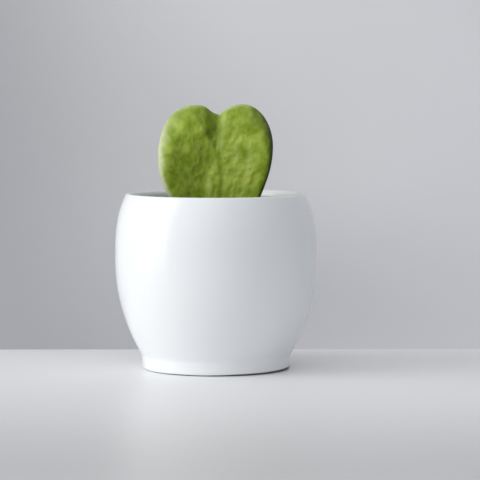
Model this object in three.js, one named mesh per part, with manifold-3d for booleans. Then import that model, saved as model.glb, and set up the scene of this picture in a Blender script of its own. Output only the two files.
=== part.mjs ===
// A single heart-shaped hoya leaf standing in potting mix in a round glazed pot.
// Millimetres, +Z up. The origin is the middle of the pot's foot, on the surface it stands on,
// and the leaf's front faces -Y.
import * as THREE from 'three';
import { mergeVertices } from 'three/addons/utils/BufferGeometryUtils.js';
import Module from 'manifold-3d';

const wasm = await Module();
wasm.setup();

// ---------------------------------------------------------------- driving dimensions

// Pot
const POT_HEIGHT = 108.4;
const BELLY_RADIUS = 62.5;
const BELLY_HEIGHT = 69;
const MOUTH_RADIUS = 56.1; // outside, where the lip starts to round over
const NECK_RADIUS = 46.2; // outside, where the body meets the foot
const FOOT_HEIGHT = 8.6;
const FOOT_RADIUS = 45.5;
const FOOT_RING_WIDTH = 5;
const FOOT_BEVEL = 1.6;
const RECESS = 2.5; // how far the underside is hollowed inside the foot ring
const WALL = 4;
const FLOOR_HEIGHT = 9;
const FLOOR_FILLET = 8; // how far the inside curves in from the wall to the floor
const FLOOR_BEND = 1.6; // how far in from the wall that curve turns level
const FLOOR_BEND_START = 13.6; // height outside, level with where that curve starts
const LIP_ROUNDING = 1.2; // of the lip's outer edge
const LIP_ROLL = [2.8, 3.8]; // width and depth of the rounding of its inner edge
const LIP_FOOT = 13; // from the top of the lip to where the wall has its own thickness
const LIP_BEND = [2, 3]; // how far the inside runs straight on below the roll and above the wall
const UPPER_CURVE = 2.85; // powers of the body's outline, above and below the belly
const LOWER_CURVE = 2.15;
const POT_SIDES = 64;
const OUTSIDE_STEPS = 20;
const INSIDE_STEPS = 12;
const CORNER_STEPS = 4;

// Potting mix
const FIT_GAP = 0.3; // between pieces that rest in each other
const SOIL_HEIGHT = 80.3;
const SOIL_SHOULDER = 2.5; // how far below its top the mix first meets the wall
const SOIL_RINGS = 14;
const CRUMB_HEIGHT = 0.9;
const CRUMB_SPACING = 11; // from one row of lumps to the next
const CRUMB_COLUMNS = 1.1; // how much closer the columns are than the rows
const CRUMB_SWING = [1.7, 1.9]; // how far the rows and the columns swing from straight
const CRUMB_SWING_RATE = [0.21, 0.17]; // how fast they swing, in radians per millimetre
const CRUMB_SLANTS = [[0.8, 0.7, 2], [0.5, -0.9, 0]]; // x and y parts and shift of two slanting waves
const CRUMB_SLANT_SHARE = 0.7;
const HOLE_FLOOR = 69.7;
const HOLE_LENGTH = 20; // of the cutter, which stands out past the top of the mix

// Leaf: places are (x, z), seen from the front
const LEAF_BASE = new THREE.Vector2(-3, 82.5);
const NOTCH = new THREE.Vector2(2.8, 156.8);
const WIDEST_LEFT = new THREE.Vector2(-35.7, 131.5);
const WIDEST_RIGHT = new THREE.Vector2(35.1, 138);
const SHOULDER_RIGHT = new THREE.Vector2(27.6, 107.2); // where the right edge turns in to the base
const LOBE_LEFT = new THREE.Vector2(-13.3, 163);
const LOBE_RIGHT = new THREE.Vector2(16, 163.5);
const BLADE_CENTRE = new THREE.Vector2(0, 130);
const BLADE_THICKNESS = 7.4;
const MARGIN_WIDTH = 8.5; // over which the blade's edge rounds over
const FOLD_LEFT = [0.32, 0.06]; // rise per millimetre away from the midrib, below and above the easing
const FOLD_RIGHT = [0.3, 0.17];
const FOLD_EASING = [132, 154]; // heights between which the fold opens out
const FOLD_ROUNDING = 2.5;
const FOLD_TOP = 1.2; // where the midrib ends, level with the notch
const ROLL_SLOPE = 0.56; // at the edge, where the margin rolls back
const ROLL_WIDTH = [7, 5]; // of the rolled margin, halfway up its left and right side
const ROLL_GAIN = 11; // how much wider it is straight up, and narrower straight down
const ROLL_LEAST = 3;
const ROLL_EASING = [0.1, 0.7]; // how far to the side a ray points for the roll to start and be whole
const ARCH_BACK = 4.5; // how far the tip of the blade leans away from the front
const GROOVE_FOOT = 137; // height where the groove below the notch runs out
const GROOVE_SLOPE = 0.62; // of the flat facet on its left
const GROOVE_WIDTH = 13.5; // of that facet, at the notch
const GROOVE_ROUNDING = 0.8;
const GROOVE_BANK = 2.4; // width of the steep bank on its right
const GROOVE_BACK = 0.5; // share of its depth that stands out as a ridge behind it
const RIB_HEIGHT = 3;
const RIB_WIDTH = [4.2, 1.8]; // at the base and where it dies out
const RIB_TOP = [110, 140]; // heights between which the rib dies out
const SWELLINGS = [
  { x: -13, z: 152, width: 12, height: 1.6 },
  { x: 13, z: 152, width: 13, height: 2.2 },
  { x: -15, z: 120, width: 14, height: -0.5 },
];
const RIPPLE_HEIGHT = 0.35;
const RIPPLE_START = [15, 35]; // distances from the base between which the ripples rise
const RIPPLE_SPREAD = 12; // degrees from one ripple to the next, as they fan out from the base
const RIPPLE_LENGTH = 38;
const RIPPLE_BEND = [1.4, 7]; // how far each ripple swings about its ray, and how slowly
const RIPPLE_SLANT = 6.4; // how much a crest shifts along its ray from one ray to the next
const STALK_RADIUS = 2.3;
const STALK_TIP = [1.6, 1.5]; // radius and height of the taper at its foot
const STALK_FLARE = 3; // radius inside the blade's base
const STALK_NECK = 1.5; // below the base, where the flare starts
const STALK_TOP = [2.5, 6.5, 8]; // above the base: the flare's widest, its shoulder and its end
const STALK_SHOULDER = 2.4;
const STALK_SIDES = 16;
const OUTLINE_STEPS = 48; // along each half of the outline
const FRONT_RINGS = 10;
const MARGIN_RINGS = 6;
const BACK_RINGS = 6;

// ---------------------------------------------------------------- solids

// Joins a surface's shared corners, and drops the triangles that shrink to nothing at a pole.
function weld(geometry) {
  geometry.deleteAttribute('normal');
  geometry.deleteAttribute('uv');
  const merged = mergeVertices(geometry, 1e-4);
  const corners = Array.from(merged.index.array);
  const kept = [];
  for (let i = 0; i < corners.length; i += 3) {
    const triangle = corners.slice(i, i + 3);
    if (new Set(triangle).size === 3) kept.push(...triangle);
  }
  merged.setIndex(kept);
  return merged;
}

function toSolid(geometry) {
  const welded = weld(geometry);
  return new wasm.Manifold(new wasm.Mesh({
    numProp: 3,
    vertProperties: new Float32Array(welded.attributes.position.array),
    triVerts: new Uint32Array(welded.index.array),
  }));
}

function toGeometry(solid) {
  const { vertProperties, triVerts } = solid.getMesh();
  const geometry = new THREE.BufferGeometry();
  geometry.setAttribute('position', new THREE.BufferAttribute(new Float32Array(vertProperties), 3));
  geometry.setIndex(Array.from(triVerts));
  geometry.computeVertexNormals();
  return geometry;
}

// Turns a profile of (radius, height) points about the Z axis.
function turned(profile, sides) {
  const points = profile.map(([radius, height]) => new THREE.Vector2(radius, height));
  return new THREE.LatheGeometry(points, sides).rotateX(Math.PI / 2);
}

const steps = (count) => Array.from({ length: count + 1 }, (_, i) => i / count);

function piece(name, geometry, color, roughness) {
  const mesh = new THREE.Mesh(geometry, new THREE.MeshStandardMaterial({ color, roughness, metalness: 0 }));
  mesh.name = name;
  return mesh;
}

// ---------------------------------------------------------------- pot

const LIP_START = POT_HEIGHT - LIP_ROUNDING;

// Outside of the body: it falls in from the belly by a power of the distance above or below it.
function bodyRadius(z) {
  if (z > BELLY_HEIGHT) {
    const up = (z - BELLY_HEIGHT) / (LIP_START - BELLY_HEIGHT);
    return BELLY_RADIUS - (BELLY_RADIUS - MOUTH_RADIUS) * up ** UPPER_CURVE;
  }
  const down = (BELLY_HEIGHT - z) / (BELLY_HEIGHT - FOOT_HEIGHT);
  return BELLY_RADIUS - (BELLY_RADIUS - NECK_RADIUS) * down ** LOWER_CURVE;
}

// The point a given depth inside the body's outer surface, square to it.
function insideWall(z, depth) {
  const slope = (bodyRadius(z + 0.05) - bodyRadius(z - 0.05)) / 0.1;
  const length = Math.hypot(1, slope);
  return [bodyRadius(z) - depth / length, z + (depth * slope) / length];
}

// A stretch of an ellipse from one angle to another, in degrees from straight out.
function roundedEdge([centreRadius, centreHeight], [width, height], from, to) {
  return steps(CORNER_STEPS).map((t) => {
    const angle = THREE.MathUtils.degToRad(from + (to - from) * t);
    return [centreRadius + width * Math.cos(angle), centreHeight + height * Math.sin(angle)];
  });
}

// The inside of the wall at a given depth, from the top down to the floor and the curve between them.
function innerProfile(depth, top, floor) {
  const wall = steps(INSIDE_STEPS).map((t) => insideWall(top + (FLOOR_BEND_START - top) * t, depth));
  const [wallRadius, wallHeight] = wall.at(-1);
  const bend = new THREE.QuadraticBezierCurve(
    new THREE.Vector2(wallRadius, wallHeight),
    new THREE.Vector2(wallRadius - FLOOR_BEND, floor),
    new THREE.Vector2(wallRadius - FLOOR_FILLET, floor),
  );
  return [...wall, ...bend.getPoints(CORNER_STEPS).slice(1).map((p) => [p.x, p.y])];
}

const footInside = FOOT_RADIUS - FOOT_RING_WIDTH;
const footProfile = [
  [0, RECESS],
  [footInside - FOOT_BEVEL, RECESS],
  [footInside, 0],
  [FOOT_RADIUS - FOOT_BEVEL, 0],
  [FOOT_RADIUS, FOOT_BEVEL],
];
const outsideProfile = steps(OUTSIDE_STEPS).map((t) => {
  const z = FOOT_HEIGHT + (LIP_START - FOOT_HEIGHT) * t;
  return [bodyRadius(z), z];
});

// The lip is thick: its inner edge rolls over in a broad ellipse, and below the roll the inside bends
// back out to the wall.
const lipRadius = MOUTH_RADIUS - LIP_ROUNDING;
const lipProfile = [
  ...roundedEdge([lipRadius, LIP_START], [LIP_ROUNDING, LIP_ROUNDING], 0, 90).slice(1),
  ...roundedEdge([lipRadius, POT_HEIGHT - LIP_ROLL[1]], LIP_ROLL, 90, 180).slice(1),
];
const [rollRadius, rollHeight] = lipProfile.at(-1);
const hollowProfile = innerProfile(WALL, POT_HEIGHT - LIP_FOOT, FLOOR_HEIGHT);
const [[footingRadius, footingHeight], [nextRadius, nextHeight]] = hollowProfile;
const wallLean = (footingRadius - nextRadius) / (footingHeight - nextHeight);
const lipBend = new THREE.CubicBezierCurve(
  new THREE.Vector2(rollRadius, rollHeight),
  new THREE.Vector2(rollRadius, rollHeight - LIP_BEND[0]),
  new THREE.Vector2(footingRadius + wallLean * LIP_BEND[1], footingHeight + LIP_BEND[1]),
  new THREE.Vector2(footingRadius, footingHeight),
);
const bendProfile = lipBend.getPoints(CORNER_STEPS).slice(1, -1).map((p) => [p.x, p.y]);
const potProfile = [
  ...footProfile, ...outsideProfile, ...lipProfile, ...bendProfile, ...hollowProfile, [0, FLOOR_HEIGHT],
];
const potSolid = turned(potProfile, POT_SIDES);

// ---------------------------------------------------------------- potting mix

// Lumps of mix, as waves that cross at odd angles so that they never line up in rows.
function crumbs(x, y) {
  const k = (2 * Math.PI) / CRUMB_SPACING;
  const rows = Math.sin(k * (x + CRUMB_SWING[0] * Math.sin(CRUMB_SWING_RATE[0] * y)));
  const columns = Math.sin(k * CRUMB_COLUMNS * (y + CRUMB_SWING[1] * Math.sin(CRUMB_SWING_RATE[1] * x)));
  const slants = CRUMB_SLANTS.map(([partX, partY, shift]) => Math.sin(k * (partX * x + partY * y) + shift));
  return CRUMB_HEIGHT * (rows * columns + CRUMB_SLANT_SHARE * slants[0] * slants[1]);
}

// The mix fills the pot from the floor up, and ends in a flat top that the crumbs then lift.
const mixDepth = WALL + FIT_GAP;
const mixFloor = FLOOR_HEIGHT + FIT_GAP;
const mixWall = innerProfile(mixDepth, SOIL_HEIGHT - SOIL_SHOULDER, mixFloor).reverse();
const [mixRadius] = insideWall(SOIL_HEIGHT, mixDepth);
const mixTop = steps(SOIL_RINGS).map((t) => [mixRadius * (1 - t), SOIL_HEIGHT]);
const mixGeometry = turned([[0, mixFloor], ...mixWall, ...mixTop], POT_SIDES);
const mixPlaces = mixGeometry.attributes.position;
for (let i = 0; i < mixPlaces.count; i += 1) {
  const atTop = mixPlaces.getZ(i) > SOIL_HEIGHT - SOIL_SHOULDER / 2;
  if (atTop) mixPlaces.setZ(i, SOIL_HEIGHT + crumbs(mixPlaces.getX(i), mixPlaces.getY(i)));
}
const holeRadius = STALK_RADIUS + FIT_GAP;
const holeGeometry = new THREE.CylinderGeometry(holeRadius, holeRadius, HOLE_LENGTH, STALK_SIDES)
  .rotateX(Math.PI / 2)
  .translate(LEAF_BASE.x, 0, HOLE_FLOOR + HOLE_LENGTH / 2);
const soilSolid = toSolid(mixGeometry).subtract(toSolid(holeGeometry));

// ---------------------------------------------------------------- leaf

// The heart's outline, from the notch down the left side to the base and up the right side again.
const leftSide = new THREE.Path()
  .moveTo(NOTCH.x, NOTCH.y)
  .bezierCurveTo(-6.6, 158.5, -3.1, LOBE_LEFT.y, LOBE_LEFT.x, LOBE_LEFT.y)
  .bezierCurveTo(-27.3, LOBE_LEFT.y, WIDEST_LEFT.x, 149.8, WIDEST_LEFT.x, WIDEST_LEFT.y)
  .bezierCurveTo(WIDEST_LEFT.x, 110.5, -24.5, 96, LEAF_BASE.x, LEAF_BASE.y);
const rightSide = new THREE.Path()
  .moveTo(LEAF_BASE.x, LEAF_BASE.y)
  .bezierCurveTo(11, 87.5, 23.6, 96.8, SHOULDER_RIGHT.x, SHOULDER_RIGHT.y)
  .bezierCurveTo(30.6, 115, WIDEST_RIGHT.x, 124.5, WIDEST_RIGHT.x, WIDEST_RIGHT.y)
  .bezierCurveTo(WIDEST_RIGHT.x, 151, 27.2, LOBE_RIGHT.y, LOBE_RIGHT.x, LOBE_RIGHT.y)
  .bezierCurveTo(9.6, LOBE_RIGHT.y, 3.6, 159.2, NOTCH.x, NOTCH.y);
const outline = [
  ...leftSide.getSpacedPoints(OUTLINE_STEPS),
  ...rightSide.getSpacedPoints(OUTLINE_STEPS).slice(1),
];

// How far a place is to the right of the midrib, where the two halves of the blade meet.
function fromMidrib(x, z) {
  const rise = (z - LEAF_BASE.y) / (NOTCH.y - LEAF_BASE.y);
  return x - THREE.MathUtils.lerp(LEAF_BASE.x, FOLD_TOP, rise);
}

// The groove below the notch: a flat facet on the left, which widens towards the notch, and a steep
// bank on the right.
function grooveDepth(across, z) {
  const width = GROOVE_WIDTH * Math.max(0, (z - GROOVE_FOOT) / (NOTCH.y - GROOVE_FOOT));
  const inside = width + Math.min(across, 0);
  const facet = (GROOVE_SLOPE * (inside + Math.hypot(inside, GROOVE_ROUNDING))) / 2;
  return facet * Math.exp(-((Math.max(across, 0) / GROOVE_BANK) ** 2));
}

// The rib that the groove turns into on its way down.
function ribRelief(across, z) {
  const dyingOut = THREE.MathUtils.smoothstep(z, ...RIB_TOP);
  const width = THREE.MathUtils.lerp(...RIB_WIDTH, dyingOut);
  return RIB_HEIGHT * (1 - dyingOut) * Math.exp(-((across / width) ** 2));
}

// Soft ripples along rays from the base, each broken up and bent along its length.
function rippleRelief(x, z) {
  const reach = Math.hypot(x - LEAF_BASE.x, z - LEAF_BASE.y);
  const turn = Math.atan2(x - LEAF_BASE.x, z - LEAF_BASE.y);
  const bend = RIPPLE_BEND[0] * Math.sin(reach / RIPPLE_BEND[1]);
  const across = Math.sin((2 * Math.PI * turn) / THREE.MathUtils.degToRad(RIPPLE_SPREAD) + bend);
  const along = Math.sin((2 * Math.PI * reach) / RIPPLE_LENGTH + RIPPLE_SLANT * turn);
  return RIPPLE_HEIGHT * THREE.MathUtils.smoothstep(reach, ...RIPPLE_START) * across * along;
}

// How far the front stands out of an even blade.
function frontRelief(x, z) {
  const swelling = SWELLINGS.reduce((sum, hump) => (
    sum + hump.height * Math.exp(-((x - hump.x) ** 2 + (z - hump.z) ** 2) / hump.width ** 2)
  ), 0);
  return ribRelief(fromMidrib(x, z), z) + rippleRelief(x, z) + swelling;
}

// The blade's middle surface: each half rises towards the front, less so towards the lobes, and the
// tip leans back.
function middleY(x, z) {
  const across = fromMidrib(x, z);
  const opening = THREE.MathUtils.smoothstep(z, ...FOLD_EASING);
  const rise = THREE.MathUtils.lerp(...(across < 0 ? FOLD_LEFT : FOLD_RIGHT), opening);
  const fold = rise * (Math.hypot(across, FOLD_ROUNDING) - FOLD_ROUNDING);
  const up = (z - LEAF_BASE.y) / (LOBE_RIGHT.y - LEAF_BASE.y);
  return ARCH_BACK * up ** 2 - fold;
}

// How far the margin rolls back, a distance out along a ray from the blade's centre. The band that
// rolls is wider towards the lobes, and slopes the same at the edge all along either side.
function rolledBack(ray, distance) {
  const sideways = ray.x / ray.length();
  const upward = ray.y / ray.length();
  const halfway = sideways < 0 ? ROLL_WIDTH[0] : ROLL_WIDTH[1];
  const width = Math.max(halfway + ROLL_GAIN * upward, ROLL_LEAST);
  const inside = Math.max(0, distance - ray.length() + width);
  const share = THREE.MathUtils.smoothstep(Math.abs(sideways), ...ROLL_EASING);
  return (ROLL_SLOPE * share * inside ** 2) / (2 * width);
}

// A sphere's grid, reshaped: its poles become the middles of the front and the back, and each row
// between them is a smaller outline, with the last few rows rounding over the margin.
const bladeRows = FRONT_RINGS + MARGIN_RINGS + BACK_RINGS;
const bladeGeometry = new THREE.SphereGeometry(1, 2 * OUTLINE_STEPS, bladeRows);
const bladePlaces = bladeGeometry.attributes.position;
for (let row = 0; row <= bladeRows; row += 1) {
  const overMargin = THREE.MathUtils.clamp((row - FRONT_RINGS) / MARGIN_RINGS, 0, 1);
  const tilt = Math.PI * (0.5 - overMargin);
  const grooveShare = THREE.MathUtils.lerp(GROOVE_BACK, 1, (1 + Math.sin(tilt)) / 2);
  const outward = Math.min(row / FRONT_RINGS, 1, (bladeRows - row) / BACK_RINGS);
  for (let column = 0; column <= 2 * OUTLINE_STEPS; column += 1) {
    const ray = outline[column].clone().sub(BLADE_CENTRE);
    const distance = (ray.length() - MARGIN_WIDTH) * outward + MARGIN_WIDTH * Math.cos(tilt);
    const place = ray.clone().setLength(distance).add(BLADE_CENTRE);
    const groove = grooveShare * grooveDepth(fromMidrib(place.x, place.y), place.y);
    const middle = middleY(place.x, place.y) + rolledBack(ray, distance) + groove;
    const front = Math.max(0, Math.sin(tilt)) * frontRelief(place.x, place.y);
    const y = middle - (BLADE_THICKNESS / 2) * Math.sin(tilt) - front;
    bladePlaces.setXYZ(row * (2 * OUTLINE_STEPS + 1) + column, place.x, y, place.y);
  }
}

// The short stalk, which stands in the hole and flares into the blade's base.
const stalkFoot = HOLE_FLOOR + FIT_GAP;
const stalkGeometry = turned([
  [0, stalkFoot],
  [STALK_TIP[0], stalkFoot],
  [STALK_RADIUS, stalkFoot + STALK_TIP[1]],
  [STALK_RADIUS, LEAF_BASE.y - STALK_NECK],
  [STALK_FLARE, LEAF_BASE.y + STALK_TOP[0]],
  [STALK_SHOULDER, LEAF_BASE.y + STALK_TOP[1]],
  [0, LEAF_BASE.y + STALK_TOP[2]],
], STALK_SIDES).translate(LEAF_BASE.x, 0, 0);
const leafSolid = toSolid(bladeGeometry).add(toSolid(stalkGeometry));

// ---------------------------------------------------------------- the potted plant

const plant = new THREE.Group();
plant.add(
  piece('pot', weld(potSolid), '#eceef0', 0.15),
  piece('soil', toGeometry(soilSolid), '#4b3a2c', 0.95),
  piece('leaf', toGeometry(leafSolid), '#7f9a3c', 0.55),
);

export default plant;
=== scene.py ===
import itertools

import bpy
import numpy as np
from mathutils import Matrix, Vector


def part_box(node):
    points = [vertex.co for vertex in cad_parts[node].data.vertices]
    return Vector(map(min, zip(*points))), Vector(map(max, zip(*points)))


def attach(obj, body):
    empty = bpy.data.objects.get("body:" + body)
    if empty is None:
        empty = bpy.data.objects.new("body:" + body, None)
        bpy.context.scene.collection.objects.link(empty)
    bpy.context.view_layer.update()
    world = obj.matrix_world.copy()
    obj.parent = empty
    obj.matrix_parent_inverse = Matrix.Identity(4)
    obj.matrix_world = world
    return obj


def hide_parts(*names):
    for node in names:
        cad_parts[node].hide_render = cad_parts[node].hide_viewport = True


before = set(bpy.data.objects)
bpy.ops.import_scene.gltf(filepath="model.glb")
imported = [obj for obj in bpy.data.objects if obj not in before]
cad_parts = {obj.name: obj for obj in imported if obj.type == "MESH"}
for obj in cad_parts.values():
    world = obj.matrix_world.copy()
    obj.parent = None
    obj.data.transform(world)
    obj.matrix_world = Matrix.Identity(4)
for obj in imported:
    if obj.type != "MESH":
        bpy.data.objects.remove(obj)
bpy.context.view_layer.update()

# ---- The pot ---------------------------------------------------------------------------------
# White stoneware, cast in one piece with a low foot, a full belly and a thin rolled lip. It is
# glazed all over and fired, except where the foot ring was wiped clean to stand in the kiln; that
# unglazed band is coloured very dark, partly the clay's own tone and partly a painted contact shadow, wider
# on the right.
# Sizes are in millimetres, and MM turns them into metres.
MM = 0.001
POT_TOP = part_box("pot")[1]
BELLY_RADIUS = POT_TOP[0] / MM
POT_HEIGHT = POT_TOP[2] / MM
BELLY_HEIGHT = 69.0
MOUTH_RADIUS = 56.1
NECK_RADIUS = 46.2
FOOT_HEIGHT = 8.6
FOOT_RADIUS = 45.5
FOOT_RING_WIDTH = 5.0
FOOT_EDGE = 1.6
RECESS = 2.5
WALL = 4.0
POT_FLOOR = 9.0
CORNER_HEIGHT = FOOT_HEIGHT + 5.0
CORNER_WIDTH = 8.0
LIP_ROUNDING = 1.2
LIP_ANGLE = np.radians(25.5)
LIP_ROLL = np.array([2.8, 3.8])
LIP_FOOT = 13.0
LIP_START = POT_HEIGHT - LIP_ROUNDING
UPPER_CURVE = 2.85
LOWER_CURVE = 2.15


def body_radius(z):
    """Outside radius at height z: it falls in from the belly by a power of the way up or down from it."""
    up = np.clip((z - BELLY_HEIGHT) / (LIP_START - BELLY_HEIGHT), 0, None)
    down = np.clip((BELLY_HEIGHT - z) / (BELLY_HEIGHT - FOOT_HEIGHT), 0, None)
    above = (BELLY_RADIUS - MOUTH_RADIUS) * up**UPPER_CURVE
    below = (BELLY_RADIUS - NECK_RADIUS) * down**LOWER_CURVE
    return BELLY_RADIUS - above - below


def inside_wall(z, depth):
    """Points a given depth inside the outer surface at heights z, measured square to it."""
    slope = (body_radius(z + 0.05) - body_radius(z - 0.05)) / 0.1
    length = np.hypot(1, slope)
    return np.stack([body_radius(z) - depth / length, z + depth * slope / length], axis=-1)


def arc(centre, radius, start, end, steps):
    """Points round a centre from one angle to another, in radians up from straight out."""
    angle = np.linspace(start, end, steps)
    return np.array(centre) + radius * np.stack([np.cos(angle), np.sin(angle)], axis=-1)


def bend(points, steps):
    """A Bezier curve of any degree: each point is run into the next one, until a single one is left."""
    t = np.linspace(0, 1, steps)[:, None]
    levels = [np.array(p, float)[None, :] for p in points]
    while len(levels) > 1:
        levels = [(1 - t) * a + t * b for a, b in zip(levels, levels[1:])]
    return levels[0]


def line(start, end, steps):
    """Evenly spaced points from start to end."""
    return np.linspace(start, end, steps)


def new_piece(name, vertices, faces, smooth=False):
    """A new object at the origin, whose mesh has these vertices, in metres, and these faces."""
    mesh = bpy.data.meshes.new(name)
    mesh.from_pydata(vertices, [], faces)
    mesh.polygons.foreach_set("use_smooth", np.full(len(mesh.polygons), smooth))
    mesh.update()
    piece = bpy.data.objects.new(name, mesh)
    bpy.context.scene.collection.objects.link(piece)
    return piece


def skin(name, rows, start, end):
    """A closed, smooth skin over rings of points. rows[i, j] is point j of ring i, and each ring closes on
    itself. start and end are the single points that close the first and the last ring. Faces point out
    where the rings run anticlockwise seen from above and go outwards, up and in again."""
    count, around = rows.shape[:2]
    vertices = np.concatenate([rows.reshape(-1, 3), [start], [end]]) * MM
    ring, step = np.meshgrid(np.arange(count - 1), np.arange(around), indexing="ij")
    here = ring * around + step
    beside = ring * around + (step + 1) % around
    quads = np.stack([here, beside, beside + around, here + around], axis=-1).reshape(-1, 4)
    edge = np.arange(around)
    after = (edge + 1) % around
    last = (count - 1) * around
    first_cap = np.stack([np.full(around, count * around), after, edge], axis=-1)
    last_cap = np.stack([np.full(around, count * around + 1), last + edge, last + after], axis=-1)
    faces = quads.tolist() + first_cap.tolist() + last_cap.tolist()
    return new_piece(name, vertices, faces, smooth=True)


def pot_profile():
    """The pot's section as (radius, height), from the middle of the underside out round the foot, up the
    body, over the lip and down the inside to the middle of the floor."""
    ring_inside = FOOT_RADIUS - FOOT_RING_WIDTH
    foot_edge = (FOOT_RADIUS - FOOT_EDGE, FOOT_EDGE)
    neck_low = FOOT_HEIGHT - 1.3
    neck_high = FOOT_HEIGHT + 1.4
    neck = [(NECK_RADIUS - 0.1, neck_low), (NECK_RADIUS, FOOT_HEIGHT), (body_radius(neck_high), neck_high)]
    lip_foot = LIP_START + LIP_ROUNDING * np.sin(LIP_ANGLE)
    heights = np.linspace(neck_high, lip_foot, 150)
    lip_outer = body_radius(lip_foot) - LIP_ROUNDING * np.cos(LIP_ANGLE)
    roll_middle = np.array([MOUTH_RADIUS - LIP_ROUNDING, POT_HEIGHT - LIP_ROLL[1]])
    roll = roll_middle + (arc((0, 0), 1.0, np.pi / 2, np.pi, 16) * LIP_ROLL)
    inside = inside_wall(np.linspace(POT_HEIGHT - LIP_FOOT, CORNER_HEIGHT, 60), WALL)
    below_roll = roll[-1] - [0, 2.0]
    above_inside = inside[0] + [-0.7, 3.0]
    corner = inside[-1]
    floor_edge = corner[0] - CORNER_WIDTH
    return np.concatenate([
        line((1.0, RECESS), (ring_inside - 2.2, RECESS), 10),
        bend([(ring_inside - 2.0, RECESS), (ring_inside - 0.6, RECESS), (ring_inside - 0.1, 0.6)], 6),
        bend([(ring_inside, 0.4), (ring_inside + 0.2, 0), (ring_inside + 0.7, 0)], 5),
        line((ring_inside + 1.0, 0), (foot_edge[0] - 0.1, 0), 4),
        arc(foot_edge, FOOT_EDGE, -np.pi / 2, 0, 7),
        line((FOOT_RADIUS + 0.05, FOOT_EDGE + 0.4), (NECK_RADIUS - 0.12, neck_low - 0.2), 10),
        bend(neck, 9),
        np.stack([body_radius(heights), heights], axis=-1)[1:],
        arc((lip_outer, LIP_START), LIP_ROUNDING, LIP_ANGLE, np.pi / 2, 10)[1:],
        roll[1:],
        bend([roll[-1], below_roll, above_inside, inside[0]], 12)[1:-1],
        inside,
        bend([corner, (corner[0] - 1.6, POT_FLOOR), (floor_edge, POT_FLOOR)], 9)[1:],
        line((floor_edge - 1.0, POT_FLOOR), (1.0, POT_FLOOR), 8),
    ])


def turned(profile, around):
    """Spins a section of (radius, height) points about the Z axis: x = r cos a, y = r sin a, z = height."""
    angle = np.linspace(0, 2 * np.pi, around, endpoint=False)
    radius, height = profile[:, :1], profile[:, 1:]
    return np.stack([radius * np.cos(angle), radius * np.sin(angle), height + 0 * angle], axis=-1)


pot = skin("glazed_pot", turned(pot_profile(), 240), (0, 0, RECESS), (0, 0, POT_FLOOR))

THIN_GLAZE = (0.83, 0.853, 0.87, 1)
THICK_GLAZE = (0.86, 0.88, 0.89, 1)
GLAZE_CLOUDS = 28.0
GLAZE_WAVES = 45.0
GLAZE_ROUGHNESS = (0.14, 0.20)
# Very dark unglazed clay for the foot's lowest edge: partly the clay's own tone, partly a painted contact
# shadow.
BARE_CLAY_AND_PAINTED_SHADOW = (0.13, 0.12, 0.11, 1)
CLAY_ROUGHNESS = 0.85
WIPED_HEIGHT = 1.2
# Slope that widens the dark band towards the right: painted shadow.
PAINTED_SHADOW_SLOPE = 0.014
WIPED_EDGE = (0.1 * MM, 0.4 * MM)


def add(tree, kind, links=None, **settings):
    """Adds one shader node. links gives a value or another node's output for each of its inputs."""
    node = tree.nodes.new(kind)
    for key, value in settings.items():
        setattr(node, key, value)
    for key, value in (links or {}).items():
        if isinstance(value, bpy.types.NodeSocket):
            tree.links.new(value, node.inputs[key])
        else:
            node.inputs[key].default_value = value
    return node


def maths(tree, operation, *values):
    """What one Math node makes of its values."""
    return add(tree, "ShaderNodeMath", dict(enumerate(values)), operation=operation).outputs[0]


def ranged(tree, value, reach, ends=(0.0, 1.0), kind="LINEAR"):
    """Goes from the first to the second of two ends as a value goes through its reach, and no further."""
    return add(tree, "ShaderNodeMapRange", {
        "Value": value, "From Min": reach[0], "From Max": reach[1], "To Min": ends[0], "To Max": ends[1],
    }, interpolation_type=kind).outputs["Result"]


def mixed(tree, share, first, second):
    """A colour that goes from the first to the second as the share goes from 0 to 1."""
    return add(tree, "ShaderNodeMix", {"Factor": share, 6: first, 7: second}, data_type="RGBA").outputs[2]


def noise(tree, place, scale, detail):
    """Soft random hills from 0 to 1, so many a metre where the place is in metres."""
    links = {"Vector": place, "Scale": scale, "Detail": detail}
    return add(tree, "ShaderNodeTexNoise", links).outputs["Fac"]


def raise_surface(tree, shader, height, strength, distance):
    """Bumps the surface by a height from 0 to 1, which stands for a distance in metres."""
    bump = add(tree, "ShaderNodeBump", {"Height": height, "Strength": strength, "Distance": distance})
    tree.links.new(bump.outputs["Normal"], shader.inputs["Normal"])


def finish_material(name, inputs):
    """A new material with one Principled BSDF. Returns the material, its node tree and its shader."""
    material = bpy.data.materials.new(name)
    material.use_nodes = True
    tree = material.node_tree
    shader = tree.nodes["Principled BSDF"]
    for key, value in inputs.items():
        shader.inputs[key].default_value = value
    return material, tree, shader


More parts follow.
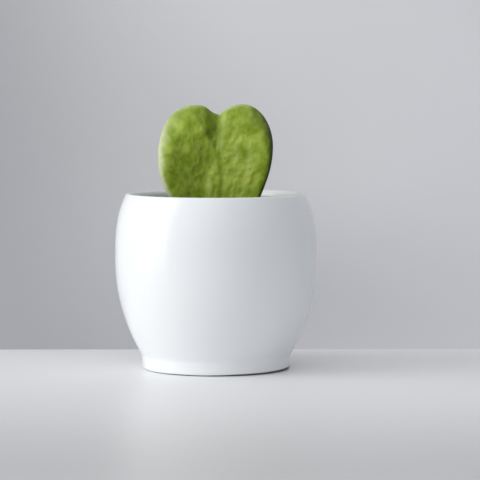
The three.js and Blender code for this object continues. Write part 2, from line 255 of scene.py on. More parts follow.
def white_glaze():
    """Opaque white glaze, with the faint waves and thin places of a dipped pot. The foot's lowest edge is
    unglazed clay coloured very dark, partly its own tone and partly a painted contact shadow, up to a
    height that wanders with the clouds in the glaze and is greater on the right, as painted shadow."""
    material, tree, shader = finish_material("white_glaze", {"IOR": 1.5, "Specular IOR Level": 0.38})
    place = add(tree, "ShaderNodeTexCoord").outputs["Object"]
    parts = add(tree, "ShaderNodeSeparateXYZ", {"Vector": place}).outputs
    clouds = noise(tree, place, GLAZE_CLOUDS, detail=3.0)
    waves = noise(tree, place, GLAZE_WAVES, detail=1.0)
    # The dark band's height wanders with the clouds, and rises to the right as painted shadow.
    wiped = maths(tree, "MULTIPLY", clouds, WIPED_HEIGHT * MM)
    band_height_with_painted_shadow = maths(tree, "MULTIPLY_ADD", parts["X"], PAINTED_SHADOW_SLOPE, wiped)
    above = maths(tree, "SUBTRACT", parts["Z"], band_height_with_painted_shadow)
    bare_and_painted_shadow = ranged(tree, above, WIPED_EDGE, (1.0, 0.0))
    glaze = mixed(tree, clouds, THIN_GLAZE, THICK_GLAZE)
    tree.links.new(mixed(tree, bare_and_painted_shadow, glaze, BARE_CLAY_AND_PAINTED_SHADOW), shader.inputs["Base Color"])
    glossy = ranged(tree, clouds, (0.3, 0.7), GLAZE_ROUGHNESS)
    rough = add(tree, "ShaderNodeMix", {"Factor": bare_and_painted_shadow, 2: glossy, 3: CLAY_ROUGHNESS}, data_type="FLOAT")
    tree.links.new(rough.outputs[0], shader.inputs["Roughness"])
    raise_surface(tree, shader, waves, strength=0.12, distance=1.0 * MM)
    return material


pot.data.materials.append(white_glaze())
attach(pot, "root")
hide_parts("pot")

# ---- The potting mix -------------------------------------------------------------------------
# Dark, damp mix of fine bark and peat, filled to well under the lip and firmed round the stalk. Its
# top is crumbly, with bark chips and white perlite grains lying loose in it.
STALK_PLACE = np.array([-3.0, 0.0])
HOLE_RADIUS = 2.6
HOLE_FLOOR = 69.7
HOLE_STEPS = np.array([0.0, 4.0, 8.0])
MIX_HEIGHT = 80.3
MIX_SHOULDER = 2.5
FIT_GAP = 0.3
MIX_BOTTOM = POT_FLOOR + FIT_GAP
MIX_RADIUS = float(inside_wall(np.array([MIX_HEIGHT]), WALL + FIT_GAP)[0, 0])
LUMP_HEIGHT = 0.9
LUMP_PITCH = 9.0
# Height, pitch and seed of each size of crumb.
CRUMBS = ((1.1, 3.4, 2), (0.8, 1.7, 3), (0.35, 0.8, 4))
CRUMBS_START = 40


def soft_noise(across, along, seed):
    """Smooth random hills from -1 to 1: a random height at each whole-number corner of the plane, eased
    from corner to corner by 3t^2 - 2t^3."""
    size = 128
    corners = np.random.default_rng(seed).uniform(-1, 1, (size, size))
    i, j = np.floor(across).astype(int), np.floor(along).astype(int)
    s, t = across - i, along - j
    s, t = s * s * (3 - 2 * s), t * t * (3 - 2 * t)
    low = (1 - s) * corners[i % size, j % size] + s * corners[(i + 1) % size, j % size]
    high = (1 - s) * corners[i % size, (j + 1) % size] + s * corners[(i + 1) % size, (j + 1) % size]
    return (1 - t) * low + t * high


def mix_height(x, y):
    """Height of the mix at (x, y): broad lumps, then crumbs in three sizes with sharp little valleys."""
    lumps = LUMP_HEIGHT * soft_noise(x / LUMP_PITCH, y / LUMP_PITCH, 1)
    crumbs = sum(
        height * (0.5 - np.abs(soft_noise(x / pitch + CRUMBS_START, y / pitch + CRUMBS_START, seed)))
        for height, pitch, seed in CRUMBS
    )
    return MIX_HEIGHT + lumps + crumbs


def mix_rings(around=320, across=150):
    """Rings from the middle of the pot's floor out and up along its inside, in over the top and down the
    stalk's hole. They are worked out from the hole outwards, by straight rays to the pot's wall."""
    angle = np.linspace(0, 2 * np.pi, around, endpoint=False)
    ray = np.stack([np.cos(angle), np.sin(angle)], axis=-1)
    ahead = ray @ STALK_PLACE
    reach = -ahead + np.sqrt(ahead**2 + MIX_RADIUS**2 - STALK_PLACE @ STALK_PLACE)
    share = np.linspace(0, 1, across)[:, None, None]
    top = STALK_PLACE + ray * (HOLE_RADIUS + (reach - HOLE_RADIUS)[:, None] * share)
    heights = mix_height(top[..., 0], top[..., 1])
    top = np.concatenate([top, heights[..., None]], axis=-1)
    hole = np.concatenate([top[:1]] * len(HOLE_STEPS))
    hole[:, :, 2] = (HOLE_FLOOR + HOLE_STEPS)[:, None]
    wall = inside_wall(np.linspace(MIX_HEIGHT - MIX_SHOULDER, CORNER_HEIGHT, 12), WALL + FIT_GAP)
    floor = np.array([[wall[-1, 0] - CORNER_WIDTH, MIX_BOTTOM], [2.0, MIX_BOTTOM]])
    rest = np.concatenate([wall, floor])
    edge = np.arctan2(top[-1, :, 1], top[-1, :, 0])
    sides = np.stack([
        rest[:, :1] * np.cos(edge), rest[:, :1] * np.sin(edge), rest[:, 1:] + 0 * edge,
    ], axis=-1)
    return np.concatenate([hole, top, sides])[::-1]


mix = skin("potting_mix", mix_rings(), (0, 0, MIX_BOTTOM), (*STALK_PLACE, HOLE_FLOOR))

# Grains lie within a share of the top's area round its middle, and clear of the stalk.
GRAIN_AREA = (0.012, 0.93)
GRAIN_CLEARANCE = 1.6
GRAIN_SHAPE = (1.3, 0.8)
GRAIN_STRETCH = (0.6, 1.4)
GRAIN_DENTS = (0.75, 1.15)
GRAIN_UPRIGHT = 1.6
GRAIN_LEAN = 0.35


def twenty_sided():
    """Corners and faces of a 20-sided ball of radius 1. The corners are those of three golden rectangles,
    and the faces are every three corners that lie an edge apart, in the order that points out."""
    golden = (1 + 5**0.5) / 2
    rectangle = np.array([(s, t * golden, 0) for s in (-1, 1) for t in (-1, 1)])
    corners = np.concatenate([np.roll(rectangle, k, axis=1) for k in range(3)]) / np.hypot(1, golden)
    threes = np.array(list(itertools.combinations(range(len(corners)), 3)))
    apart = np.linalg.norm(corners[threes] - corners[np.roll(threes, 1, axis=1)], axis=-1)
    # An edge is 1.05 long, and the next distance between two corners is 1.70.
    faces = threes[(apart < 1.1).all(axis=1)]
    a, b, c = corners[faces].transpose(1, 0, 2)
    inward = np.sum(np.cross(b - a, c - a) * a, axis=-1) < 0
    faces[inward] = faces[inward, ::-1]
    return corners, faces


def leaning_turns(rng, count):
    """Random turns that leave the third axis near upright: three random directions, the third one mostly
    up, are made square to one another from the third to the first."""
    rows = rng.normal(size=(count, 3, 3)) * np.array([1, 1, GRAIN_LEAN])[:, None]
    rows[:, 2, 2] += GRAIN_UPRIGHT
    turns = np.linalg.qr(rows.transpose(0, 2, 1)[:, :, ::-1])[0][:, :, ::-1]
    return turns * np.sign(np.linalg.det(turns))[:, None, None]


def scattered(name, count, sizes, flatness, seed, sunk):
    """Loose grains in one mesh. Each is a 20-sided ball, pulled out of round by its own random lengths,
    turned at random and set at a random place on the mix, off it by part of its size."""
    rng = np.random.default_rng(seed)
    corners, faces = twenty_sided()
    away = np.sqrt(rng.uniform(*GRAIN_AREA, count)) * MIX_RADIUS
    angle = rng.uniform(0, 2 * np.pi, count)
    place = np.stack([away * np.cos(angle), away * np.sin(angle)], axis=-1)
    size = rng.uniform(*sizes, count)
    clear = np.linalg.norm(place - STALK_PLACE, axis=-1) > size + HOLE_RADIUS + GRAIN_CLEARANCE
    place, size = place[clear], size[clear]
    count = len(size)
    stretch = rng.uniform(*GRAIN_STRETCH, (count, 1, 3)) * np.array([*GRAIN_SHAPE, flatness])
    dents = rng.uniform(*GRAIN_DENTS, (count, len(corners), 1))
    points = corners * dents * stretch * size[:, None, None]
    points = np.einsum("nij,nkj->nki", leaning_turns(rng, count), points)
    base = mix_height(place[:, 0], place[:, 1]) + sunk * size * flatness
    points += np.stack([place[:, 0], place[:, 1], base], axis=-1)[:, None]
    faces = faces + len(corners) * np.arange(count)[:, None, None]
    return new_piece(name, points.reshape(-1, 3) * MM, faces.reshape(-1, 3).tolist())


bark = scattered("bark_chips", count=700, sizes=(0.8, 2.6), flatness=0.45, seed=11, sunk=0.2)
peat = scattered("peat_crumbs", count=2200, sizes=(0.4, 1.0), flatness=0.8, seed=12, sunk=0.1)
perlite = scattered("perlite_grains", count=130, sizes=(0.5, 1.3), flatness=0.85, seed=13, sunk=0.3)

PATCH_EDGE = (0.35, 0.68)
GRIT = 1800.0


def crumbly_surface():
    """The shader group that the materials of the mix share: two colours in random patches, so many a
    metre, and the height of a fine grit."""
    group = bpy.data.node_groups.new("crumbly_surface", "ShaderNodeTree")
    sockets = {
        "INPUT": {"Place": "Vector", "Dark": "Color", "Light": "Color", "Patches": "Float"},
        "OUTPUT": {"Colour": "Color", "Grit": "Float"},
    }
    for side, kinds in sockets.items():
        for name, kind in kinds.items():
            group.interface.new_socket(name, in_out=side, socket_type="NodeSocket" + kind)
    given = add(group, "NodeGroupInput").outputs
    share = ranged(group, noise(group, given["Place"], given["Patches"], detail=6.0), PATCH_EDGE)
    add(group, "NodeGroupOutput", {
        "Colour": mixed(group, share, given["Dark"], given["Light"]),
        "Grit": noise(group, given["Place"], GRIT, detail=4.0),
    })
    return group


crumbly_group = crumbly_surface()


def crumbly(name, dark, light, patches, roughness):
    """A dry, earthy finish with its own two colours, number of patches a metre and roughness."""
    material, tree, shader = finish_material(name, {"Roughness": roughness, "Specular IOR Level": 0.3})
    place = add(tree, "ShaderNodeTexCoord").outputs["Object"]
    surface = add(tree, "ShaderNodeGroup", {
        "Place": place, "Dark": dark, "Light": light, "Patches": patches,
    }, node_tree=crumbly_group).outputs
    tree.links.new(surface["Colour"], shader.inputs["Base Color"])
    raise_surface(tree, shader, surface["Grit"], strength=0.6, distance=0.4 * MM)
    return material


mix.data.materials.append(crumbly(
    "damp_mix", dark=(0.018, 0.011, 0.007, 1), light=(0.075, 0.048, 0.03, 1), patches=380.0, roughness=0.9,
))
peat.data.materials.append(crumbly(
    "peat", dark=(0.022, 0.014, 0.009, 1), light=(0.06, 0.038, 0.022, 1), patches=240.0, roughness=0.92,
))
bark.data.materials.append(crumbly(
    "pine_bark", dark=(0.045, 0.024, 0.013, 1), light=(0.17, 0.095, 0.05, 1), patches=260.0, roughness=0.85,
))
perlite.data.materials.append(crumbly(
    "perlite", dark=(0.62, 0.60, 0.55, 1), light=(0.80, 0.79, 0.75, 1), patches=700.0, roughness=0.9,
))
for piece in (mix, bark, peat, perlite):
    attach(piece, "root")
    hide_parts("soil")

# ---- The leaf --------------------------------------------------------------------------------
# One thick heart-shaped hoya leaf on a short stalk, with its notch up. It grew in one piece: the
# two halves rise from the midrib like a shallow open book, and the fleshy margin rounds over.
# Points are (x, z), and pairs for the two sides give the left one first.
LEAF_BASE = np.array([-3.0, 82.5])
NOTCH = np.array([2.8, 156.8])
WIDEST_LEFT = np.array([-35.7, 131.5])
WIDEST_RIGHT = np.array([35.1, 138.0])
SHOULDER_RIGHT = np.array([27.6, 107.2])
LOBE_LEFT = np.array([-13.3, 163.0])
LOBE_RIGHT = np.array([16.0, 163.5])
BLADE_CENTRE = np.array([0.0, 130.0])
BLADE_THICKNESS = 7.4
MARGIN_WIDTH = 8.5
FOLD_LEFT = (0.32, 0.06)
FOLD_RIGHT = (0.30, 0.17)
FOLD_EASING = (132.0, 154.0)
FOLD_ROUNDING = 2.5
FOLD_TOP = 1.2
ROLL_SLOPE = 0.56
ROLL_WIDTH = (7.0, 5.0)
ROLL_GAIN = 11.0
ROLL_LEAST = (6.0, 3.0)
ROLL_EASING = (0.1, 0.7)
ARCH_BACK = 4.5
GROOVE_FOOT = 134.0
GROOVE_SLOPE = 0.59
GROOVE_WIDTH = 14.2
GROOVE_ROUNDING = 0.8
GROOVE_BANK = 2.4
GROOVE_BACK = 0.5
KEEL_HEIGHT = 0.8
KEEL_WIDTH = 2.6
RIB_HEIGHT = 3.0
RIB_WIDTH = (4.2, 1.8)
RIB_TOP = (110.0, 140.0)
# Middle (x, z), width and height of each swelling.
SWELLINGS = ((-13, 152, 12, 1.6), (13, 152, 13, 2.2), (-15, 120, 14, -0.5))
RIPPLE_HEIGHT = 0.35
RIPPLE_START = (15.0, 35.0)
RIPPLE_SPREAD = np.radians(12)
RIPPLE_LENGTH = 38.0
RIPPLE_SWAY = 1.4
RIPPLE_SWAY_LENGTH = 7.0
RIPPLE_SLANT = 6.4
STALK_RADIUS = 2.3
STALK_FLARE = 3.0
STALK_FOOT = HOLE_FLOOR + FIT_GAP
STALK_TOP = LEAF_BASE[1] + 9.0


def evenly(points, count):
    """Points at even distances along a line of points, from its first point up to but without its last."""
    travelled = np.concatenate([[0], np.cumsum(np.linalg.norm(np.diff(points, axis=0), axis=1))])
    at = np.linspace(0, travelled[-1], count, endpoint=False)
    return np.stack([np.interp(at, travelled, points[:, k]) for k in range(2)], axis=-1)


def leaf_outline(count):
    """The heart as (x, z) points, clockwise from the front: from the notch down the right side to the
    base and up the left side."""
    right = np.concatenate([
        bend([NOTCH, (3.6, 159.2), (9.6, LOBE_RIGHT[1]), LOBE_RIGHT], 90),
        bend([LOBE_RIGHT, (27.2, LOBE_RIGHT[1]), (WIDEST_RIGHT[0], 151), WIDEST_RIGHT], 120)[1:],
        bend([WIDEST_RIGHT, (WIDEST_RIGHT[0], 124.5), (30.6, 115), SHOULDER_RIGHT], 120)[1:],
        bend([SHOULDER_RIGHT, (23.6, 96.8), (11, 87.5), LEAF_BASE], 120)[1:],
    ])
    left = np.concatenate([
        bend([LEAF_BASE, (-24.5, 96), (WIDEST_LEFT[0], 110.5), WIDEST_LEFT], 200),
        bend([WIDEST_LEFT, (WIDEST_LEFT[0], 149.8), (-27.3, LOBE_LEFT[1]), LOBE_LEFT], 120)[1:],
        bend([LOBE_LEFT, (-3.1, LOBE_LEFT[1]), (-6.6, 158.5), NOTCH], 90)[1:],
    ])
    return np.concatenate([evenly(right, count // 2), evenly(left, count // 2)])


def ease(value, low, high):
    """0 below low, 1 above high, and 3t^2 - 2t^3 between them."""
    t = np.clip((value - low) / (high - low), 0, 1)
    return t * t * (3 - 2 * t)


def from_base(x, z):
    """Distance from the leaf's base, and the angle to the right of straight up from it."""
    right, up = x - LEAF_BASE[0], z - LEAF_BASE[1]
    return np.hypot(right, up), np.arctan2(right, up)


def from_midrib(x, z):
    """Distance to the right of the midrib, which runs straight from the base to the notch."""
    rise = (z - LEAF_BASE[1]) / (NOTCH[1] - LEAF_BASE[1])
    return x - LEAF_BASE[0] - (FOLD_TOP - LEAF_BASE[0]) * rise


def groove(across, z):
    """Depth of the groove below the notch. Left of the midrib it is a flat facet that widens upwards from
    the groove's foot, and right of it a steep rounded bank."""
    width = GROOVE_WIDTH * np.clip((z - GROOVE_FOOT) / (NOTCH[1] - GROOVE_FOOT), 0, None)
    inside = width + np.minimum(across, 0)
    facet = GROOVE_SLOPE * (inside + np.hypot(inside, GROOVE_ROUNDING)) / 2
    return facet * np.exp(-((np.maximum(across, 0) / GROOVE_BANK) ** 2))


def main_relief(x, z):
    """What stands out of an even blade: the broad rib below the groove, a swelling in each lobe, and soft
    ripples on rays from the base."""
    across = from_midrib(x, z)
    dying = ease(z, *RIB_TOP)
    rib_width = RIB_WIDTH[0] + (RIB_WIDTH[1] - RIB_WIDTH[0]) * dying
    rib = RIB_HEIGHT * (1 - dying) * np.exp(-((across / rib_width) ** 2))
    swelling = sum(h * np.exp(-((x - sx) ** 2 + (z - sz) ** 2) / w**2) for sx, sz, w, h in SWELLINGS)
    reach, turn = from_base(x, z)
    sway = RIPPLE_SWAY * np.sin(reach / RIPPLE_SWAY_LENGTH)
    wave = np.sin(2 * np.pi * turn / RIPPLE_SPREAD + sway)
    wave = wave * np.sin(2 * np.pi * reach / RIPPLE_LENGTH + RIPPLE_SLANT * turn)
    return rib + swelling + RIPPLE_HEIGHT * ease(reach, *RIPPLE_START) * wave


# Heights, then the pitch in x or in radians, and in z or along a ray.
WANDER = (0.8, 9.0, 9.0)
FAN = (0.30, 0.095, 9.0)
FINE_FAN = (0.06, 0.06, 5.0)
HILLS = (0.34, 4.6, 5.4)
CREASES = (0.34, 3.4, 4.4)
LUMPS = (0.14, 2.0, 2.2)
FAN_START = (16, 48)
FAN_MIDRIB = (2, 14)
# Share of the wrinkles at the edge, and what the front has more and the back less.
WRINKLES_EDGE = 0.35
WRINKLES_FRONT = 0.65


def hills(size, across, along, seed, shift_across=0.0, shift_along=0.0, start=(50, 50)):
    """Random hills of a height and two pitches, shifted by parts of a pitch from where they start."""
    height, wide, long = size
    return height * soft_noise(
        across / wide + start[0] + shift_across, along / long + start[1] + shift_along, seed,
    )


def wrinkles(x, z):
    """The skin's fine wrinkles: random hills stretched along rays from the base, which fade out towards it
    and the midrib, and hills, sharp creases and small lumps with no direction."""
    reach, turn = from_base(x, z)
    wander = hills(WANDER, x, z, 21, start=(0, 0))
    fanned = ease(reach, *FAN_START) * ease(np.abs(from_midrib(x, z)), *FAN_MIDRIB)
    fan = hills(FAN, turn, reach, 22, wander, 1.5 * wander, start=(50, 0))
    fan += hills(FINE_FAN, turn, reach, 23, wander, -wander, start=(50, 0))
    broad = hills(HILLS, x, z, 25, wander, -wander)
    height, wide, long = CREASES
    folds = hills((1.0, wide, long), x, z, 26, wander, wander, start=(20, 70))
    creases = height * (0.5 - np.abs(folds))
    return fanned * fan + broad + creases + hills(LUMPS, x, z, 24)


def middle_y(x, z):
    """The blade's middle surface: each half rises to the front away from the midrib, as a rounded V that
    opens out towards the lobes, and the tip arches back with the square of its height."""
    across = from_midrib(x, z)
    opening = ease(z, *FOLD_EASING)
    left = FOLD_LEFT[0] + (FOLD_LEFT[1] - FOLD_LEFT[0]) * opening
    right = FOLD_RIGHT[0] + (FOLD_RIGHT[1] - FOLD_RIGHT[0]) * opening
    fold = np.where(across < 0, left, right) * (np.hypot(across, FOLD_ROUNDING) - FOLD_ROUNDING)
    up = (z - LEAF_BASE[1]) / (LOBE_RIGHT[1] - LEAF_BASE[1])
    return ARCH_BACK * up**2 - fold


def blade_y(x, z, facing):
    """Where the skin lies in y. facing is 1 in front and -1 behind, and goes through 0 at the edge. Behind,
    the relief is gone, the wrinkles are low, the groove is a lower ridge and the midrib is a keel."""
    across = from_midrib(x, z)
    share = WRINKLES_EDGE + WRINKLES_FRONT * facing
    lift = np.clip(facing, 0, 1) * main_relief(x, z) + share * wrinkles(x, z)
    keel = KEEL_HEIGHT * np.clip(-facing, 0, 1) * np.exp(-((across / KEEL_WIDTH) ** 2))
    sunk = (GROOVE_BACK + (1 - GROOVE_BACK) * (1 + facing) / 2) * groove(across, z)
    return middle_y(x, z) + sunk - BLADE_THICKNESS / 2 * facing - lift + keel


def rolled_back(ray, away):
    """How far the left and right margins roll back: by the square of the way into a band along the edge,
    which is wider towards the lobes, to the same slope everywhere at the edge."""
    length = np.linalg.norm(ray, axis=-1)
    sideways, upward = ray[:, 0] / length, ray[:, 1] / length
    least = np.where(sideways < 0, *ROLL_LEAST)
    width = np.maximum(np.where(sideways < 0, *ROLL_WIDTH) + ROLL_GAIN * upward, least)
    inward = np.clip(away - length + width, 0, None) ** 2 / (2 * width)
    return ROLL_SLOPE * ease(np.abs(sideways), *ROLL_EASING) * inward


def blade_rings(around=360, front=90, margin=18, back=44):
    """Rings of points from the middle of the front to the middle of the back. Each ray from the blade's
    centre runs flat to the margin, where thickness and reach follow half an ellipse from front to back."""
    outward = np.concatenate([
        np.linspace(0, 1, front + 1)[1:], np.ones(margin - 1), np.linspace(1, 0, back + 1)[:-1],
    ])[:, None]
    square = np.pi / 2
    tilt = np.concatenate([
        np.full(front, square), np.linspace(square, -square, margin + 1)[1:-1], np.full(back, -square),
    ])[:, None]
    ray = leaf_outline(around) - BLADE_CENTRE
    length = np.linalg.norm(ray, axis=-1)
    away = (length - MARGIN_WIDTH) * outward + MARGIN_WIDTH * np.cos(tilt)
    place = BLADE_CENTRE + (ray / length[:, None]) * away[..., None]
    x, z = place[..., 0], place[..., 1]
    return np.stack([x, blade_y(x, z, np.sin(tilt)) + rolled_back(ray, away), z], axis=-1)


def blade_middle(facing):
    """The single point at the middle of the front (1) or the back (-1)."""
    x, z = BLADE_CENTRE
    return (x, float(blade_y(x, z, facing)), z)


def stalk_profile():
    """The stalk's section as (radius, height), from its foot in the mix to its flared top in the blade."""
    foot, base = STALK_FOOT, LEAF_BASE[1]
    return np.concatenate([
        line((0.5, foot), (0.7 * STALK_RADIUS, foot), 3),
        bend([(0.8 * STALK_RADIUS, foot), (STALK_RADIUS, foot), (STALK_RADIUS, foot + 1.5)], 5),
        line((STALK_RADIUS, foot + 2.5), (STALK_RADIUS, base - 2.5), 8),
        bend([(STALK_RADIUS, base - 1.5), (STALK_FLARE, base + 1.5), (STALK_FLARE, base + 4)], 8),
        bend([(STALK_FLARE, base + 5), (0.8 * STALK_FLARE, base + 8), (0.5, STALK_TOP)], 8),
    ])


blade = skin("hoya_leaf", blade_rings(), blade_middle(1), blade_middle(-1))
stalk_rows = turned(stalk_profile(), 40) + np.array([LEAF_BASE[0], 0, 0])
stalk = skin("stalk", stalk_rows, (LEAF_BASE[0], 0, STALK_FOOT), (LEAF_BASE[0], 0, STALK_TOP))
join = blade.modifiers.new("grown_together", "BOOLEAN")
join.operation, join.solver, join.object = "UNION", "EXACT", stalk
bpy.context.view_layer.update()
grown = bpy.data.meshes.new_from_object(blade.evaluated_get(bpy.context.evaluated_depsgraph_get()))
blade.modifiers.clear()
blade.data = grown
grown.polygons.foreach_set("use_smooth", np.ones(len(grown.polygons), bool))
bpy.data.objects.remove(stalk)

LEAF_GREENS = ((0.186, 0.283, 0.003, 1), (0.348, 0.445, 0.054, 1))
# Painted shade green and painted highlight green, for the light that falls from the left.
PAINTED_SHADE_GREEN = (0.016, 0.030, 0.0005, 1)
PAINTED_HIGHLIGHT_GREEN = (0.57, 0.615, 0.36, 1)
LEAF_ROUGHNESS = (0.42, 0.58)
LEAF_PATCHES = 130.0
LEAF_DOWN = 900.0
MOTTLE_EDGE = (0.8, 1.22)
STREAKS_ROUND = 14.0
STREAKS_ALONG = 120.0
STREAKS_DEEP = 60.0
FRECKLE_GREEN = (0.06, 0.10, 0.012, 1)
FRECKLE_PITCH = 330.0
FRECKLE_EDGE = (0.10, 0.26)
FRECKLE_RARITY = 0.78
FRECKLE_DEPTH = 0.45
# The way the skin faces is a part of a unit vector: X to the right, Z up.
# Painted shade: darker where the skin faces right, and further right. Painted highlights: paler where it
# faces left near the left margin, and where it faces up near the top.
PAINTED_SHADE_FACING = (0.24, 1.0)
PAINTED_SHADE_RIGHT = 5.0
LEFT_FACING = (-0.08, -0.68)
LEFT_PLACE = (-13.0 * MM, -27.0 * MM)
LEFT_SLANT = 0.15
LEFT_PAINTED_HIGHLIGHT = (0.12, 0.95)
TOP_FACING = (0.66, 1.0)
TOP_LEAN = -0.3
TOP_PLACE = (152.0 * MM, 159.0 * MM)
TOP_PAINTED_HIGHLIGHT = (0.0, 0.6)


def vector_maths(tree, operation, *values, result="Vector"):
    """What one Vector Math node makes of its values: a Vector, or a Value for a length or a product."""
    return add(tree, "ShaderNodeVectorMath", dict(enumerate(values)), operation=operation).outputs[result]


def eased(tree, value, reach, ends=(0.0, 1.0)):
    """As ranged(), but slow at both ends: 3t^2 - 2t^3."""
    return ranged(tree, value, reach, ends, "SMOOTHSTEP")


def mottled(tree, parts, up, patches):
    """Two greens that change along streaks on rays from the leaf's base and in small patches."""
    right = maths(tree, "SUBTRACT", parts["X"], LEAF_BASE[0] * MM)
    turn = maths(tree, "ARCTAN2", right, up)
    flat = add(tree, "ShaderNodeCombineXYZ", {"X": right, "Y": up}).outputs[0]
    reach = vector_maths(tree, "LENGTH", flat, result="Value")
    fan = add(tree, "ShaderNodeCombineXYZ", {
        "X": maths(tree, "MULTIPLY", turn, STREAKS_ROUND),
        "Y": maths(tree, "MULTIPLY", reach, STREAKS_ALONG),
        "Z": maths(tree, "MULTIPLY", parts["Y"], STREAKS_DEEP),
    }).outputs[0]
    both = maths(tree, "ADD", noise(tree, fan, scale=1.0, detail=4.0), patches)
    return mixed(tree, ranged(tree, both, MOTTLE_EDGE), *LEAF_GREENS)


def freckles(tree, place):
    """1 in small round pits, one in about a fifth of the cells of a random pattern, and 0 round them."""
    cells = add(tree, "ShaderNodeTexVoronoi", {"Vector": place, "Scale": FRECKLE_PITCH}).outputs
    pit = ranged(tree, cells["Distance"], FRECKLE_EDGE, (1.0, 0.0))
    draw = add(tree, "ShaderNodeSeparateColor", {"Color": cells["Color"]}).outputs["Red"]
    return maths(tree, "MULTIPLY", pit, maths(tree, "GREATER_THAN", draw, FRECKLE_RARITY))


def painted_light_and_shade(tree, green, parts, up):
    """The green, with painted shade and painted highlights: a dark green where the skin faces right and
    towards its right side, and a pale green where it faces left near the left margin and where it faces up
    along the top."""
    normal = add(tree, "ShaderNodeTexCoord").outputs["Normal"]
    facing = add(tree, "ShaderNodeSeparateXYZ", {"Vector": normal}).outputs
    # Painted shade: a dark green where the skin faces right and towards the right side.
    shaded = maths(tree, "MULTIPLY_ADD", parts["X"], PAINTED_SHADE_RIGHT, facing["X"])
    painted_shade_colour = mixed(tree, eased(tree, shaded, PAINTED_SHADE_FACING), green, PAINTED_SHADE_GREEN)
    # Painted highlights: a pale green where the skin faces left near the left margin, and where it faces up
    # near the top.
    across = maths(tree, "MULTIPLY_ADD", up, LEFT_SLANT, parts["X"])
    near_margin = eased(tree, across, LEFT_PLACE, LEFT_PAINTED_HIGHLIGHT)
    left_edge = maths(tree, "MULTIPLY", eased(tree, facing["X"], LEFT_FACING), near_margin)
    near_top = eased(tree, parts["Z"], TOP_PLACE, TOP_PAINTED_HIGHLIGHT)
    to_sky = maths(tree, "MULTIPLY_ADD", facing["X"], TOP_LEAN, facing["Z"])
    top_edge = maths(tree, "MULTIPLY", eased(tree, to_sky, TOP_FACING), near_top)
    return mixed(tree, maths(tree, "MAXIMUM", left_edge, top_edge), painted_shade_colour, PAINTED_HIGHLIGHT_GREEN)


def leaf_skin():
    """Fleshy green skin: mottled, with painted shade towards the right and painted highlights on the left
    margin and the top, freckled with small dark pits, and with a thin down."""
    material, tree, shader = finish_material("leaf_skin", {
        "IOR": 1.45, "Specular IOR Level": 0.28, "Subsurface Weight": 0.10, "Subsurface Scale": 0.002,
        "Subsurface Radius": (0.6, 1.0, 0.2), "Sheen Weight": 0.12, "Sheen Roughness": 0.5,
        "Sheen Tint": (0.9, 1.0, 0.7, 1),
    })
    place = add(tree, "ShaderNodeTexCoord").outputs["Object"]
    parts = add(tree, "ShaderNodeSeparateXYZ", {"Vector": place}).outputs
    up = maths(tree, "SUBTRACT", parts["Z"], LEAF_BASE[1] * MM)
    patches = noise(tree, place, LEAF_PATCHES, detail=5.0)
    freckle = freckles(tree, place)
    dark = maths(tree, "MULTIPLY", freckle, FRECKLE_DEPTH)
    green = mixed(tree, dark, mottled(tree, parts, up, patches), FRECKLE_GREEN)
    tree.links.new(painted_light_and_shade(tree, green, parts, up), shader.inputs["Base Color"])
    tree.links.new(ranged(tree, patches, (0.0, 1.0), LEAF_ROUGHNESS), shader.inputs["Roughness"])
    pitted = maths(tree, "SUBTRACT", noise(tree, place, LEAF_DOWN, detail=3.0), freckle)
    raise_surface(tree, shader, pitted, strength=0.35, distance=0.3 * MM)
    return material


blade.data.materials.clear()
blade.data.materials.append(leaf_skin())
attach(blade, "root")
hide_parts("leaf")

# ---- Floor, backdrop, light and camera -------------------------------------------------------
# A pale floor, darker away from the pot as painted shade, and a grey backdrop close behind, darker
# on the left and past its right end as painted shade. A large panel on the left and a soft sky light them.
# The backdrop can be seen and lit from its front only, so it hides nothing from behind. Sizes are in metres
# here.
STAGE_REACH = 3.0
FLOOR_MIDDLE = (0.2, 0.0, 0.0)
FLOOR_STRETCH = (0.45, 1.2, 1.0)
FLOOR_FADE = (0.12, 0.5)
# Painted light and shade: the floor is paler round a middle right of the pot and darker away from it.
FLOOR_PAINTED_LIGHT_GREYS = ((0.88, 0.88, 0.88, 1), (0.60, 0.60, 0.60, 1))
BACKDROP_Y = 0.1
BACKDROP_TOP = 2.0
BACKDROP_SLANT = (1.0, 0.0, 0.3)
BACKDROP_FADE = (-0.134, 0.106)
# Painted shade: the backdrop is darker on the left and past its right end.
BACKDROP_PAINTED_SHADE_GREYS = ((0.41, 0.41, 0.43, 1), (0.77, 0.765, 0.79, 1))
BACKDROP_END = (0.22, 0.36)
BACKDROP_END_PAINTED_SHADE = (0.40, 0.40, 0.41, 1)


def pale_floor():
    """Satin floor with a painted pool of light: pale round its middle and darker away from it as painted
    shade, more slowly along X than along Y.
    """
    material, tree, shader = finish_material("pale_floor", {"Roughness": 0.35})
    place = add(tree, "ShaderNodeTexCoord").outputs["Object"]
    off_middle = vector_maths(tree, "SUBTRACT", place, FLOOR_MIDDLE)
    scaled = vector_maths(tree, "MULTIPLY", off_middle, FLOOR_STRETCH)
    away = vector_maths(tree, "LENGTH", scaled, result="Value")
    tree.links.new(mixed(tree, eased(tree, away, FLOOR_FADE), *FLOOR_PAINTED_LIGHT_GREYS), shader.inputs["Base Color"])
    return material


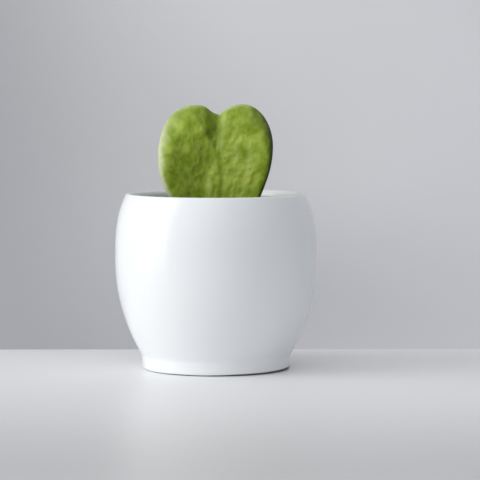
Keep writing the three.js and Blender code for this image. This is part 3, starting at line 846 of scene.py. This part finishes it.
def grey_backdrop():
    """Matt paper with painted shade: darker to the left, graded to paler on the right, and darker again
    past its right end; clear from behind.
    """
    material, tree, shader = finish_material("grey_backdrop", {"Roughness": 0.9})
    place = add(tree, "ShaderNodeTexCoord").outputs["Object"]
    along = vector_maths(tree, "DOT_PRODUCT", place, BACKDROP_SLANT, result="Value")
    tone = mixed(tree, eased(tree, along, BACKDROP_FADE), *BACKDROP_PAINTED_SHADE_GREYS)
    tone = mixed(tree, eased(tree, along, BACKDROP_END), tone, BACKDROP_END_PAINTED_SHADE)
    tree.links.new(tone, shader.inputs["Base Color"])
    behind = add(tree, "ShaderNodeNewGeometry").outputs["Backfacing"]
    clear = add(tree, "ShaderNodeBsdfTransparent").outputs[0]
    either = add(tree, "ShaderNodeMixShader", {0: behind, 1: shader.outputs[0], 2: clear}).outputs[0]
    tree.links.new(either, tree.nodes["Material Output"].inputs["Surface"])
    return material


def plain(name, corners, material):
    """A flat four-cornered sheet of the stage."""
    piece = new_piece(name, corners, [(0, 1, 2, 3)])
    piece.data.materials.append(material)


plain("floor", [
    (-STAGE_REACH, -STAGE_REACH, 0), (STAGE_REACH, -STAGE_REACH, 0),
    (STAGE_REACH, STAGE_REACH, 0), (-STAGE_REACH, STAGE_REACH, 0),
], pale_floor())
plain("backdrop", [
    (-STAGE_REACH, BACKDROP_Y, 0), (STAGE_REACH, BACKDROP_Y, 0),
    (STAGE_REACH, BACKDROP_Y, BACKDROP_TOP), (-STAGE_REACH, BACKDROP_Y, BACKDROP_TOP),
], grey_backdrop())


def panel(name, place, target, size, power, colour):
    """A soft rectangular light that faces a target: tipped up from straight down, then turned round Z."""
    data = bpy.data.lights.new(name, "AREA")
    data.shape, data.size, data.size_y, data.energy, data.color = "RECTANGLE", *size, power, colour
    light = bpy.data.objects.new(name, data)
    light.location = place
    light.visible_camera = False
    aim = np.array(target) - np.array(place)
    light.rotation_euler = (
        float(np.arctan2(np.hypot(aim[0], aim[1]), -aim[2])), 0.0, float(np.arctan2(-aim[0], aim[1])),
    )
    bpy.context.scene.collection.objects.link(light)


panel(
    "left_panel", place=(-1.3, -0.35, 0.55), target=(0, 0, 0.1), size=(1.0, 1.2), power=13.1,
    colour=(1, 1, 0.99),
)

SKY_TINT = (0.985, 1.0, 1.03, 1)
SKY_GLOWS = ((-0.265, 0, 0.458), (0, 0, 0.391), (0, -0.534, 0))


def soft_sky(name, glows):
    """Light from all round that is brightest in the direction of each glow, a vector as long as the glow is
    bright, and fades with the cosine of the angle from it to nothing at its side."""
    world = bpy.data.worlds.new(name)
    world.use_nodes = True
    tree = world.node_tree
    direction = add(tree, "ShaderNodeTexCoord").outputs["Generated"]
    total = 0.0
    for glow in glows:
        facing = vector_maths(tree, "DOT_PRODUCT", direction, glow, result="Value")
        total = maths(tree, "ADD", maths(tree, "MAXIMUM", facing, 0.0), total)
    background = tree.nodes["Background"]
    background.inputs["Color"].default_value = SKY_TINT
    tree.links.new(total, background.inputs["Strength"])
    bpy.context.scene.world = world


soft_sky("soft_room", SKY_GLOWS)
bpy.context.scene.view_settings.view_transform = "Standard"

CAMERA_DISTANCE = 1.4837
CAMERA_HEIGHT = 0.1806
LOOKING_DOWN = np.radians(3.9)
LOOKING_RIGHT = np.radians(0.571)
FOCAL_LENGTH = 180
SENSOR_WIDTH = 36
lens = bpy.data.cameras.new("camera")
lens.lens, lens.sensor_width, lens.clip_start = FOCAL_LENGTH, SENSOR_WIDTH, 0.01
camera = bpy.data.objects.new("camera", lens)
camera.location = (0, -CAMERA_DISTANCE, CAMERA_HEIGHT)
camera.rotation_euler = (np.pi / 2 - LOOKING_DOWN, 0, -LOOKING_RIGHT)
bpy.context.scene.collection.objects.link(camera)
bpy.context.scene.camera = camera
